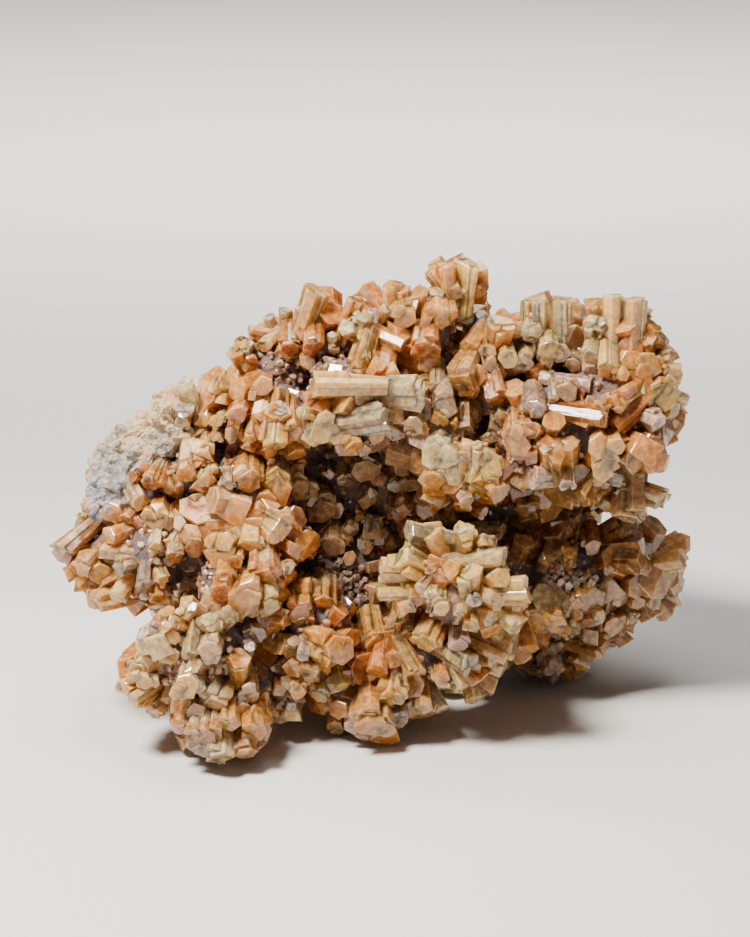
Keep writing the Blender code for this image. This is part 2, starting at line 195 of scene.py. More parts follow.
# The prisms of each part of the front, in grid steps and degrees: right and down of the end,
# lean (0 up, 90 right, 180 down, 270 left), toward (90 is end-on), width, reach, tone.
SPRAYS = {
    "ridge": (
        (316, 290, 20, 20, 26, 38, "honey"), (283, 306, 0, 40, 14, 20, "honey"),
        (268, 311, 340, 30, 12, 21, "grey"), (249, 330, 280, 20, 14, 30, "pink"),
        (265, 347, 220, 50, 16, 20, "cream"), (290, 350, 180, 45, 20, 18, "rust"),
        (312, 350, 180, 45, 22, 20, "rust"), (333, 335, 0, 50, 12, 15, "white"),
        (333, 352, 180, 50, 11, 15, "grey"), (340, 361, 180, 40, 8, 14, "clear"),
        (236, 352, 330, 50, 20, 20, "honey"), (246, 344, 340, 50, 16, 18, "honey"),
        (250, 367, 160, 50, 18, 18, "rust"), (213, 386, 290, 40, 18, 22, "honey"),
        (237, 390, 250, 65, 26, 24, "honey"), (263, 388, 180, 80, 26, 24, "honey"),
        (218, 421, 220, 75, 17, 20, "peach"), (216, 436, 200, 75, 14, 18, "honey"),
        (237, 417, 200, 55, 22, 22, "rust"), (232, 435, 200, 55, 18, 20, "rust"),
        (250, 440, 190, 50, 16, 18, "honey"), (280, 408, 0, 50, 24, 18, "orange"),
        (275, 446, 185, 25, 24, 33, "honey"), (294, 432, 175, 50, 22, 21, "amber"),
        (325, 433, 180, 70, 34, 21, "cream"), (388, 417, 80, 10, 28, 44, "green"),
        (300, 412, 290, 30, 16, 20, "cream"), (314, 388, 270, 10, 28, 44, "cream"),
        (305, 398, 250, 40, 12, 17, "rust"), (382, 386, 188, 42, 26, 42, "peach"),
        (357, 378, 195, 30, 24, 30, "yellow"), (363, 363, 180, 50, 13, 13, "cream"),
        (346, 328, 300, 55, 20, 20, "white"), (364, 317, 0, 70, 18, 17, "white"),
        (405, 345, 115, 25, 22, 21, "peach"), (424, 394, 94, 12, 30, 36, "clear"),
        (356, 297, 20, 20, 20, 29, "orange"), (391, 284, 350, 25, 24, 28, "honey"),
        (386, 309, 20, 60, 12, 15, "cream"),
    ),
    "crown": (
        (448, 263, 355, 20, 24, 26, "honey"), (468, 261, 5, 20, 26, 27, "cream"),
        (430, 270, 320, 20, 18, 24, "honey"), (436, 292, 0, 50, 20, 15, "white"),
        (484, 290, 60, 30, 14, 18, "rust"), (455, 295, 180, 50, 20, 15, "orange"),
        (463, 312, 0, 60, 26, 18, "white"), (482, 315, 20, 50, 16, 15, "cream"),
        (502, 320, 10, 45, 28, 21, "peach"), (405, 320, 180, 60, 26, 18, "peach"),
        (437, 320, 180, 55, 34, 20, "honey"), (458, 338, 200, 45, 20, 18, "yellow"),
        (467, 352, 215, 40, 24, 21, "honey"), (489, 352, 180, 75, 16, 17, "pink"),
        (508, 360, 180, 70, 22, 20, "cream"), (490, 367, 180, 60, 18, 18, "honey"),
        (422, 352, 190, 50, 28, 21, "rust"), (448, 367, 200, 60, 14, 17, "honey"),
        (441, 371, 190, 60, 12, 15, "honey"), (460, 384, 205, 50, 30, 24, "olive"),
        (438, 389, 180, 50, 18, 18, "grey"), (497, 400, 170, 30, 20, 26, "rust"),
        (507, 405, 150, 40, 14, 18, "honey"), (446, 408, 180, 60, 26, 20, "smoky"),
        (413, 427, 200, 60, 22, 20, "olive"), (437, 420, 180, 60, 18, 17, "peach"),
        (453, 427, 180, 50, 12, 14, "honey"), (530, 378, 235, 30, 16, 22, "rust"),
        (523, 364, 180, 65, 22, 20, "grey"), (547, 352, 190, 60, 26, 20, "white"),
        (531, 337, 180, 60, 22, 18, "white"), (527, 301, 0, 10, 14, 26, "cream"),
        (541, 300, 0, 12, 16, 29, "white"), (562, 300, 0, 12, 16, 29, "white"),
    ),
    "shoulder": (
        (590, 305, 330, 30, 16, 21, "honey"), (592, 322, 350, 50, 22, 18, "white"),
        (610, 296, 0, 15, 20, 37, "cream"), (632, 299, 0, 12, 24, 42, "yellow"),
        (648, 314, 40, 30, 9, 16, "white"), (652, 326, 30, 40, 20, 18, "orange"),
        (665, 339, 60, 20, 16, 22, "rust"), (646, 338, 0, 60, 22, 18, "orange"),
        (650, 365, 90, 60, 30, 24, "peach"), (671, 358, 80, 30, 14, 20, "clear"),
        (667, 374, 110, 40, 14, 18, "rust"), (590, 360, 200, 45, 20, 21, "white"),
        (607, 374, 185, 45, 26, 27, "cream"), (621, 375, 180, 75, 16, 18, "peach"),
        (572, 366, 180, 70, 20, 18, "smoky"), (589, 371, 180, 50, 16, 17, "mauve"),
        (590, 387, 100, 15, 18, 24, "mauve"), (565, 393, 180, 75, 24, 20, "olive"),
        (551, 401, 180, 50, 12, 15, "clear"), (533, 410, 180, 60, 24, 20, "lilac"),
        (641, 398, 180, 35, 18, 22, "cream"), (664, 397, 120, 65, 34, 24, "yellow"),
        (688, 402, 110, 5, 14, 31, "clear"), (673, 412, 120, 40, 20, 20, "tan"),
        (658, 426, 120, 50, 26, 21, "mauve"), (611, 402, 240, 50, 22, 21, "orange"),
        (597, 406, 250, 50, 14, 17, "peach"), (612, 427, 230, 20, 22, 46, "rust"),
        (606, 420, 100, 20, 22, 37, "rust"), (517, 444, 180, 60, 32, 21, "orange"),
        (548, 445, 350, 50, 32, 20, "orange"), (566, 443, 350, 55, 24, 18, "peach"),
        (603, 457, 180, 60, 40, 21, "peach"), (645, 452, 120, 65, 42, 27, "orange"),
        (528, 478, 265, 30, 26, 26, "mauve"), (566, 485, 180, 40, 16, 21, "mauve"),
        (597, 483, 180, 50, 16, 18, "honey"), (615, 478, 180, 60, 12, 15, "lilac"),
        (665, 499, 110, 20, 26, 34, "clear"), (614, 480, 200, 55, 18, 16, "lilac"),
        (632, 472, 10, 60, 18, 19, "white"), (622, 492, 170, 50, 14, 15, "yellow"),
        (630, 501, 180, 60, 10, 12, "green"), (588, 500, 230, 40, 18, 18, "olive"),
        (604, 506, 190, 50, 10, 12, "white"), (580, 500, 215, 30, 24, 30, "olive"),
        (625, 519, 185, 15, 34, 37, "smoky"), (606, 504, 180, 50, 8, 14, "cream"),
        (527, 512, 190, 40, 24, 22, "brown"),
    ),
    "left_middle": (
        (205, 457, 180, 60, 24, 20, "peach"), (210, 478, 180, 70, 20, 18, "yellow"),
        (228, 486, 180, 60, 14, 15, "grey"), (250, 480, 180, 60, 28, 20, "honey"),
        (275, 469, 180, 60, 18, 17, "brown"), (297, 473, 180, 60, 24, 20, "rust"),
        (275, 493, 180, 60, 38, 21, "peach"), (303, 491, 150, 60, 28, 20, "grey"),
        (264, 521, 88, 15, 20, 39, "honey"), (283, 530, 120, 60, 26, 20, "peach"),
        (222, 553, 230, 65, 36, 21, "honey"), (250, 548, 180, 60, 30, 18, "cream"),
        (236, 562, 200, 60, 16, 15, "amber"), (285, 566, 30, 45, 22, 18, "rust"),
        (316, 588, 80, 25, 28, 30, "amber"), (263, 580, 180, 55, 34, 21, "rust"),
        (225, 577, 180, 60, 20, 17, "honey"), (222, 592, 200, 55, 26, 20, "rust"),
        (245, 603, 190, 60, 38, 21, "honey"), (272, 606, 150, 40, 22, 21, "cream"),
        (325, 603, 180, 60, 24, 20, "orange"), (300, 614, 180, 50, 28, 21, "rust"),
        (286, 621, 100, 30, 16, 21, "rust"),
    ),
    # The hollow's prisms take darker, smokier tones: partly their own colour, partly painted shade
    # of the hollow.
    "hollow": (
        (322, 513, 160, 60, 34, 20, "smoky"), (330, 475, 180, 60, 13, 14, "tan"),
        (343, 482, 180, 50, 16, 15, "grey"), (365, 471, 180, 65, 28, 20, "smoky"),
        (335, 546, 180, 55, 26, 18, "smoky"), (372, 532, 180, 75, 30, 22, "grey"),
        (350, 533, 200, 65, 18, 17, "grey"), (360, 518, 180, 60, 12, 15, "tan"),
        (366, 548, 180, 60, 16, 15, "grey"), (395, 487, 180, 60, 14, 14, "smoky"),
        (411, 487, 180, 60, 22, 17, "smoky"), (367, 503, 180, 55, 24, 17, "smoky"),
        (400, 513, 180, 50, 26, 18, "brown"), (393, 435, 190, 50, 18, 18, "mauve"),
        (355, 447, 160, 45, 20, 20, "honey"), (365, 452, 140, 40, 18, 18, "mauve"),
        (465, 431, 180, 40, 20, 18, "smoky"),
    ),
    "cream_spray": (
        (445, 462, 200, 70, 42, 20, "white"), (487, 465, 90, 60, 36, 21, "cream"),
        (433, 481, 200, 50, 24, 20, "honey"), (480, 488, 190, 45, 28, 21, "amber"),
        (499, 494, 130, 35, 24, 26, "orange"), (470, 440, 0, 20, 28, 29, "peach"),
        (493, 437, 60, 60, 12, 14, "green"), (465, 503, 180, 60, 16, 17, "grey"),
        (447, 503, 0, 60, 12, 14, "peach"), (447, 517, 300, 50, 15, 15, "honey"),
        (475, 513, 60, 50, 10, 13, "honey"), (484, 512, 120, 40, 12, 14, "rust"),
    ),
    "star": (
        (407, 531, 283, 12, 30, 44, "clear"), (504, 532, 90, 25, 20, 30, "clear"),
        (400, 557, 300, 35, 28, 32, "cream"), (379, 571, 272, 10, 24, 37, "cream"),
        (377, 593, 270, 8, 17, 37, "cream"), (366, 617, 265, 20, 28, 39, "cream"),
        (433, 595, 200, 65, 16, 22, "white"), (420, 588, 230, 55, 14, 21, "grey"),
        (428, 568, 270, 55, 14, 22, "rust"), (450, 568, 300, 60, 22, 24, "honey"),
        (470, 570, 0, 38, 27, 27, "cream"), (500, 577, 60, 55, 26, 24, "cream"),
        (527, 591, 88, 15, 24, 41, "yellow"), (503, 557, 85, 20, 20, 34, "white"),
        (465, 530, 0, 45, 24, 24, "cream"), (485, 540, 60, 50, 14, 20, "cream"),
        (493, 542, 90, 45, 12, 18, "rust"), (471, 600, 180, 70, 14, 21, "lilac"),
        (489, 597, 150, 60, 20, 22, "pink"), (441, 608, 190, 55, 18, 21, "cream"),
        (408, 606, 210, 60, 14, 20, "green"), (460, 611, 180, 60, 12, 18, "cream"),
        (470, 626, 180, 60, 18, 18, "peach"),
    ),
    "bottom": (
        (410, 636, 185, 40, 18, 21, "olive"), (391, 636, 200, 55, 20, 20, "tan"),
        (426, 643, 210, 45, 28, 22, "honey"), (377, 645, 170, 50, 28, 21, "orange"),
        (377, 670, 190, 50, 24, 20, "rust"), (418, 673, 150, 35, 20, 24, "olive"),
        (441, 676, 180, 65, 18, 18, "amber"), (458, 645, 180, 50, 20, 20, "mauve"),
        (472, 663, 120, 35, 24, 26, "green"), (463, 687, 150, 20, 14, 26, "clear"),
        (512, 650, 115, 15, 30, 41, "olive"), (518, 626, 130, 20, 24, 31, "clear"),
        (530, 649, 165, 40, 18, 20, "amber"), (390, 697, 190, 50, 26, 20, "honey"),
        (403, 689, 170, 50, 12, 15, "tan"), (421, 709, 175, 45, 22, 20, "tan"),
        (443, 709, 150, 25, 16, 22, "grey"), (397, 721, 175, 40, 24, 20, "lilac"),
        (373, 726, 180, 50, 38, 22, "tan"), (335, 727, 185, 40, 22, 21, "olive"),
        (318, 645, 340, 60, 22, 17, "peach"), (342, 650, 110, 40, 36, 24, "amber"),
        (346, 687, 160, 40, 18, 20, "yellow"), (319, 696, 190, 45, 20, 20, "clear"),
        (303, 656, 180, 50, 14, 15, "mauve"), (298, 691, 180, 60, 18, 18, "amber"),
        (294, 640, 0, 50, 16, 15, "tan"), (310, 673, 180, 50, 18, 18, "tan"),
    ),
    "foot": (
        (160, 646, 180, 75, 38, 22, "white"), (148, 666, 190, 65, 28, 21, "yellow"),
        (145, 681, 190, 50, 24, 21, "peach"), (130, 665, 260, 45, 14, 17, "orange"),
        (125, 686, 260, 40, 20, 20, "honey"), (134, 700, 235, 30, 20, 22, "honey"),
        (154, 714, 220, 30, 20, 20, "rust"), (180, 730, 210, 30, 22, 20, "brown"),
        (187, 685, 180, 70, 28, 22, "peach"), (240, 656, 5, 40, 26, 18, "honey"),
        (250, 646, 20, 60, 12, 14, "lilac"), (259, 635, 150, 55, 20, 18, "lilac"),
        (211, 651, 190, 60, 24, 20, "grey"), (190, 652, 185, 35, 18, 24, "white"),
        (211, 618, 0, 55, 20, 17, "white"), (229, 613, 30, 55, 18, 17, "green"),
        (249, 697, 170, 60, 24, 21, "grey"), (215, 704, 200, 50, 28, 21, "grey"),
        (233, 722, 175, 50, 22, 21, "peach"), (257, 730, 165, 55, 24, 22, "amber"),
        (205, 737, 190, 45, 30, 21, "brown"), (222, 756, 180, 35, 28, 20, "green"),
        (247, 753, 168, 40, 24, 20, "brown"), (199, 748, 195, 45, 20, 18, "grey"),
        (186, 602, 320, 50, 24, 18, "cream"), (176, 621, 300, 50, 12, 14, "tan"),
        (143, 632, 290, 35, 24, 22, "mauve"),
    ),
    "left_end": (
        (80, 505, 340, 30, 12, 18, "yellow"), (78, 520, 290, 40, 16, 18, "pink"),
        (62, 556, 225, 25, 24, 27, "brown"), (84, 570, 220, 50, 20, 20, "tan"),
        (94, 600, 262, 35, 24, 34, "amber"), (110, 535, 250, 45, 22, 18, "peach"),
        (160, 528, 180, 60, 34, 20, "honey"), (127, 520, 220, 50, 16, 17, "rust"),
        (156, 547, 180, 60, 13, 15, "cream"), (144, 588, 180, 45, 16, 17, "lilac"),
        (163, 580, 150, 60, 16, 15, "cream"), (120, 567, 260, 60, 18, 15, "green"),
        (160, 598, 170, 50, 16, 17, "orange"), (118, 596, 210, 40, 18, 20, "clear"),
        (175, 558, 180, 50, 18, 17, "brown"),
    ),
    "left_flank": (
        (182, 386, 340, 20, 22, 26, "white"), (166, 410, 320, 30, 12, 18, "green"),
        (187, 408, 20, 50, 22, 17, "green"), (182, 423, 200, 60, 18, 17, "cream"),
        (186, 475, 180, 45, 24, 20, "honey"), (152, 484, 200, 55, 22, 17, "rust"),
        (170, 489, 170, 55, 14, 15, "pink"), (180, 489, 150, 50, 12, 14, "rust"),
        (142, 504, 150, 40, 22, 17, "pink"),
    ),
    # The back lobe, under the shoulder, takes darker, browner tones: partly its own colour, partly
    # painted shade.
    "back_lobe": (
        (580, 532, 100, 15, 34, 42, "brown"), (567, 548, 0, 50, 16, 17, "olive"),
        (591, 548, 180, 60, 22, 18, "tan"), (635, 528, 60, 40, 36, 24, "brown"),
        (645, 557, 90, 40, 36, 25, "brown"), (683, 557, 80, 20, 24, 32, "peach"),
        (593, 578, 20, 30, 8, 15, "clear"), (608, 573, 180, 50, 14, 15, "tan"),
        (535, 622, 190, 60, 24, 20, "amber"), (556, 624, 180, 65, 24, 20, "amber"),
        (576, 605, 180, 60, 16, 15, "olive"), (575, 630, 180, 55, 14, 15, "green"),
        (613, 626, 150, 60, 24, 20, "brown"), (633, 620, 140, 40, 13, 15, "grey"),
        (655, 605, 120, 45, 14, 17, "grey"), (606, 647, 100, 35, 22, 22, "olive"),
        (581, 664, 170, 60, 24, 20, "honey"), (553, 650, 190, 50, 18, 18, "green"),
        (550, 671, 180, 50, 20, 20, "mauve"),
    ),
}

# The prisms that cover the flanks, the back and the underside, in metres.
FILL_TRIES = 150
FILL_WIDTHS = (0.0080, 0.0120)
FILL_REACHES = (0.0060, 0.0100)
FILL_SPACING = 0.0176
FILL_TILT = 0.35
FILL_FACING = -0.05
BURIED = 0.0005
FILL_OUTREACH = 0.0030
ROOT_DEPTH = 0.007

# The solid model has the prisms from this width up, in grid steps, and narrower ones where they
# lean so little toward the eye, in degrees, that they stand in the outline.
SOLID_WIDTH = 20
OUTLINE_WIDTH = 14
SIDEWAYS = 20

# The crusts, in metres: the dark one lies this far inside the lobes.
CRUST_INSET = 0.0020
CRUST_VOXEL = 0.0012
CRUST_LOWEST = 0.0002
CRUST_ROUGHNESS = 0.0011
CRUST_LUMPS_PER_METRE = 320
PALE_ROUGHNESS = 0.0022
PALE_SUNK = 0.55
PALE_VOXEL = 0.0007

# Crystals that reach the table are cut flat there, each at a slightly different height, and
# one that would be left thinner than this is dropped.
FLAT_STEP = 0.000002
FLAT_LEAST = 0.0006

# The finishes, as places in each piece's list of materials.
CLOUDY = 0
CLEAR = 1
FROSTY = 2

# The outline of a prism, as shares of its radius or of a side.
SIDE_COUNTS = (4, 5, 6, 6, 6, 6, 7)
SQUASH = (0.74, 1.0)
CORNER_SWAY = 0.17
CORNER_REACH = (0.94, 1.14)
NOTCH_CHANCE = 0.08
NOTCH_MIDDLE = (0.35, 0.65)
NOTCH_SIZE = (0.03, 0.08)

# Large prisms, as shares of the radius or length. A ledge is a small step in the sides; its band is
# painted a little paler, partly as wear and partly as a painted highlight.
LARGE_WEAR = (0.025, 0.05)
LARGE_SLOPE = 0.18
LARGE_BEVEL = (0.03, 0.07)
LARGE_TAPER = 0.88
LEDGE_COUNTS = (0, 0, 0, 1, 1, 2)
LEDGE_PLACES = (0.35, 0.85)
LEDGE_STEP = 0.06
LEDGE_WEAR_AND_HIGHLIGHT = 0.3
SLENDER = 1.6

# Middling prisms and grains. Those no wider than this have sharp corners.
SHARP_WIDTH = 0.0042
MIDDLING_WEAR = (0.03, 0.06)
MIDDLING_SLOPE = 0.28
MIDDLING_BEVEL = (0.03, 0.08)
MIDDLING_TAPER = 0.85
GRAIN_TAPER = 0.8
GRAIN_SHOULDER = 0.75

# Chipped ends: how many prisms have one, where the cut starts and how steeply it falls.
CHIPPED = 0.45
CHIP_START = (-0.1, 0.5)
CHIP_FALL = (0.35, 0.9)

# The middling prisms between the large ones: how many are tried, their widths in metres, and
# how they keep clear of each other, of the large prisms' ends and of the bare flank.
MIDDLING_TRIES = 60000
MIDDLING_WIDTHS = (0.0040, 0.0100)
MIDDLING_SPREAD = 0.45
MIDDLING_SHARE = 0.64
MIDDLING_NEIGHBOURS = 4
MIDDLING_REACHES = (0.30, 0.92)
MIDDLING_TILT = 0.30
CAP_SHARE = 0.40
CAP_DEPTH = 0.0005
BARE_MARGIN = 0.001
BARE_SHARE = 0.6
PATCH_FACING = 0.2
PATCH_REACH = 0.0012
MOSAIC_WIDTH = 0.0068
CROWD_WIDEST = 0.0125
CROWD_PITCH = 0.005

# The grains of druse.
DRUSE_TRIES = 9000
DRUSE_WIDTHS = (0.0008, 0.0020)
DRUSE_TILT = 0.35
DRUSE_TONES = ("mauve", "grey", "lilac", "slate", "dusk", "brown")

# How far a crystal's inside leans to its second tone, the heights over the core between which it
# clears from deep to pale, a darkening near the core that is partly its own deeper colour and
# partly painted shade between the crystals, and how far its own tint may stray.
HEART_SHARE = (0.1, 0.5)
STAND_LOW = -0.0015
STAND_HIGH = 0.0065
TONE_SPREAD = 0.10

# Where the front and the back piece of middling prisms meet.
MIDPLANE = 0.0

# The floor and the surround.
FLOOR_HALF = 4.0
FLOOR_SUNK = 0.0001
SURROUND_COLOUR = (0.90, 0.86, 0.84, 1)
SURROUND_STRENGTH = 0.16

# Soft lights: name, place, target, power, size, colour.
LIGHTS = (
    ("key", (-0.26, -0.26, 0.61), (0, 0, 0.08), 17.5, 0.16, (1.0, 0.95, 0.88)),
    ("top", (0.02, 0.16, 0.62), (0, 0, 0.05), 3.5, 0.40, (1, 1, 1)),
)

# The lights that brighten the floor all round, beyond the specimen.
WASH_NEAR = 0.80
WASH_FAR = 2.60
WASH_HEIGHT = 1.00
WASH_POWER = 60.0
WASH_SIZE = 1.20


def finish_of(tone):
    """Which of the finishes a tone has."""
    if tone in FROSTY_TONES:
        return FROSTY
    return CLEAR if tone in CLEAR_TONES else CLOUDY


def sheet_point(right, down, deep=0.0):
    """The world place of a place on the sheet, or of one behind it as seen from the eye."""
    across = RIGHT * (right - SHEET_MIDDLE[0]) * GRID
    upward = UP * (SHEET_MIDDLE[1] - down) * GRID
    on_sheet = SHEET_PLACE + across + upward
    return EYE + (on_sheet - EYE) * (1 + deep * GRID / EYE_DISTANCE)


def world_lobes(lobes):
    """Each lobe's centre and radius in the world."""
    return [(sheet_point(right, down, deep), radius * GRID) for right, down, deep, radius in lobes]


def line_gap(point, centre, radius):
    """How far the line from the eye through a point passes from a lobe's surface."""
    sight = (point - EYE).normalized()
    along = (centre - EYE).dot(sight)
    return (EYE + sight * along - centre).length - radius


def core_point(right, down, lobes):
    """Where the line from the eye meets the core first, or the core's place nearest to it."""
    sight = (sheet_point(right, down) - EYE).normalized()
    hits = []
    misses = []
    for centre, radius in lobes:
        along = (centre - EYE).dot(sight)
        beside = EYE + sight * along - centre
        if beside.length < radius:
            hits.append(along - math.sqrt(radius**2 - beside.length_squared))
        else:
            misses.append((beside.length - radius, centre + beside.normalized() * radius))
    if hits:
        return EYE + sight * min(hits)
    return min(misses, key=lambda miss: miss[0])[1]


def front_places(rows, lobes):
    """Root, direction, width, reach and tone of each listed prism."""
    places = []
    for right, down, lean, toward, width, reach, tone in rows:
        lean = math.radians(lean)
        toward = math.radians(toward)
        across = math.sin(lean) * math.cos(toward)
        upward = math.cos(lean) * math.cos(toward)
        axis = RIGHT * across + UP * upward - INTO * math.sin(toward)
        root = core_point(right - across * reach, down + upward * reach, lobes)
        places.append((root, axis, width * GRID, reach * GRID, tone))
    return places


def in_solid(row):
    """Whether the solid model has a prism: it leaves out the narrow ones, but for the outline's."""
    toward, width = row[3:5]
    return width >= SOLID_WIDTH or (toward <= SIDEWAYS and width >= OUTLINE_WIDTH)


def sphere_directions(count):
    """Directions spread evenly over a sphere."""
    golden = math.pi * (3 - math.sqrt(5))
    for i in range(count):
        height = 1 - 2 * (i + 0.5) / count
        ring = math.sqrt(1 - height * height)
        yield Vector((ring * math.cos(golden * i), ring * math.sin(golden * i), height))


def fill_places(lobes, taken, chance):
    """The large prisms of the rest of the core, which stand where the solid model has them."""
    prism_lobes = world_lobes(PRISM_LOBES)
    places = []
    for centre, radius in prism_lobes:
        for outward in sphere_directions(FILL_TRIES):
            if outward.dot(INTO) < FILL_FACING:
                continue
            root = centre + outward * radius
            if any((root - other).length < size - BURIED for other, size in lobes):
                continue
            if any((root - place[0]).length < FILL_SPACING for place in taken + places):
                continue
            tilt = Vector([chance.uniform(-FILL_TILT, FILL_TILT) for _ in range(3)])
            axis = (outward + tilt).normalized()
            width = chance.uniform(*FILL_WIDTHS)
            reach = chance.uniform(*FILL_REACHES)
            tip = root + axis * reach
            if min(line_gap(tip, *lobe) for lobe in prism_lobes) > FILL_OUTREACH:
                continue
            places.append((root, axis, width, reach, None))
    return places


def linear(colour):
    """A colour out of 255 as the linear values that Blender works in."""
    return np.array([(part / 255) ** 2.2 for part in colour])


def standing(points, lobes):
    """How far each point stands out of the core: 0 well inside, 1 at the ends of tall prisms."""
    heights = np.full(len(points), STAND_HIGH)
    for centre, radius in lobes:
        heights = np.minimum(heights, np.linalg.norm(points - np.array(centre), axis=1) - radius)
    return np.clip((heights - STAND_LOW) / (STAND_HIGH - STAND_LOW), 0, 1)


class Growth:
    """Collects crystals into one mesh. Each point keeps its colours, its place along and across
    its own crystal and how far it stands out of the core. Each face keeps a random painted shade of
    its own and whether it is a worn edge, painted paler as wear and as a painted highlight, or an
    end."""

    def __init__(self, seed, lobes):
        self.chance = random.Random(seed)
        self.lobes = lobes
        self.points = []
        self.faces = []
        self.tints = []
        self.hearts = []
        self.grains = []
        self.facets = []
        self.slots = []
        self.count = 0

    def add(self, crystal, place, tint, finish=CLOUDY):
        """Stands a crystal, made along its own Z from the root up, at a root and along an axis.
        It is clouded inside with a second colour."""
        share = self.chance.uniform(*HEART_SHARE)
        deep = tint * (1 - share) + linear(TONES[self.chance.choice(HEART_TONES)]) * share
        points, faces, facets = crystal
        root, axis, turn = place
        stand = np.array(axis.to_track_quat("Z", "Y").to_matrix() @ Matrix.Rotation(turn, 3, "Z"))
        placed = points @ stand.T + np.array(root)
        offset = self.chance.uniform(0, 50)
        if placed[:, 2].max() < FLAT_LEAST:
            return
        placed[:, 2] = np.maximum(placed[:, 2], offset * FLAT_STEP)
        self.points.append(placed)
        self.faces += [tuple(i + self.count for i in face) for face in faces]
        self.tints.append(np.tile(tint, (len(points), 1)))
        self.hearts.append(np.tile(deep, (len(points), 1)))
        self.grains.append(points * np.array([1000, 1000, 60]) + offset)
        self.facets += facets
        self.slots += [finish] * len(faces)
        self.count += len(points)

    def build(self, name, materials):
        """Makes the piece, with its colours and measures as attributes of the mesh."""
        mesh = bpy.data.meshes.new(name)
        mesh.from_pydata(np.concatenate(self.points).tolist(), [], self.faces)
        for material in materials:
            mesh.materials.append(material)
        mesh.polygons.foreach_set("material_index", self.slots)
        for label, colours in (("tint", self.tints), ("heart", self.hearts)):
            colours = np.concatenate(colours)
            colours = np.hstack([colours, np.ones((len(colours), 1))])
            layer = mesh.attributes.new(label, "FLOAT_COLOR", "POINT")
            layer.data.foreach_set("color", colours.ravel())
        grains = mesh.attributes.new("grain", "FLOAT_VECTOR", "POINT")
        grains.data.foreach_set("vector", np.concatenate(self.grains).ravel())
        facets = mesh.attributes.new("facet", "FLOAT_VECTOR", "FACE")
        facets.data.foreach_set("vector", np.array(self.facets).ravel())
        stand = mesh.attributes.new("stand", "FLOAT", "POINT")
        stand.data.foreach_set("value", standing(np.concatenate(self.points), self.lobes))
        mesh.update()
        piece = bpy.data.objects.new(name, mesh)
        bpy.context.scene.collection.objects.link(piece)
        return piece


def outline(chance, radius, rounded, notched):
    """A mostly six-sided outline, uneven as real prisms are, with its corners worn by a share of
    its sides and notches where twins meet. With each point comes whether the side that starts
    there is a worn corner, which is painted paler, partly as wear and partly as a painted
    highlight."""
    squash = chance.uniform(*SQUASH)
    count = chance.choice(SIDE_COUNTS)
    corners = []
    for i in range(count):
        angle = math.tau * (i + chance.uniform(-CORNER_SWAY, CORNER_SWAY)) / count
        reach = radius * chance.uniform(*CORNER_REACH)
        corners.append(Vector((reach * math.cos(angle), reach * squash * math.sin(angle))))
    points = []
    wear_and_highlight = []
    for i, corner in enumerate(corners):
        before = corners[i - 1]
        after = corners[(i + 1) % count]
        if rounded:
            points.append(corner.lerp(before, rounded))
            wear_and_highlight.append(1.0)
        points.append(corner.lerp(after, rounded))
        wear_and_highlight.append(0.0)
        if notched and chance.random() < NOTCH_CHANCE:
            middle = chance.uniform(*NOTCH_MIDDLE)
            width = chance.uniform(*NOTCH_SIZE)
            sunk = 1 - chance.uniform(*NOTCH_SIZE)
            points.append(corner.lerp(after, middle - width))
            points.append(corner.lerp(after, middle) * sunk)
            points.append(corner.lerp(after, middle + width))
            wear_and_highlight += [0.0, 0.0, 0.0]
    return np.array([tuple(point) for point in points]), wear_and_highlight


def stack(chance, rings, top, wear_and_highlight):
    """Joins rings of equal count, lowest first, closes the bottom, and fans the top to a point.
    With each ring comes how worn the band above it is, which is painted paler as wear and as a
    painted highlight. Each side has one random painted shade all its way up."""
    sides = len(rings[0][0])
    points = np.vstack([ring for ring, _ in rings] + [np.array([top])])
    shades = [chance.random() for _ in range(sides)]
    faces = [tuple(range(sides - 1, -1, -1))]
    facets = [(0.0, 0.0, 0.0)]
    for level in range(len(rings) - 1):
        low = level * sides
        for i in range(sides):
            j = (i + 1) % sides
            faces.append((low + i, low + j, low + sides + j, low + sides + i))
            facets.append((shades[i], max(wear_and_highlight[i], rings[level][1]), 0.0))
    last = (len(rings) - 1) * sides
    shade = chance.random()
    for i in range(sides):
        faces.append((last + i, last + (i + 1) % sides, len(points) - 1))
        facets.append((min(1.0, shade + chance.uniform(0, 0.15)), 0.0, 1.0))
    return points, faces, facets


def raised(flat, scale, height, slope=(0, 0)):
    """A ring of an outline at a height, with its plane tipped by a slope."""
    ring = np.column_stack([flat * scale, np.full(len(flat), float(height))])
    ring[:, 2] += ring[:, 0] * slope[0] + ring[:, 1] * slope[1]
    return ring


def chip(chance, rings, top, radius):
    """Cuts a slant off one side of the end, which then has two or three faces and a ridge."""
    angle = chance.uniform(0, math.tau)
    toward = np.array([math.cos(angle), math.sin(angle)])
    start = radius * chance.uniform(*CHIP_START)
    fall = chance.uniform(*CHIP_FALL)
    for ring in rings:
        past = np.maximum(ring[:, :2] @ toward - start, 0)
        ring[:, 2] -= past * fall
    return (*(toward * start * 0.9), top)


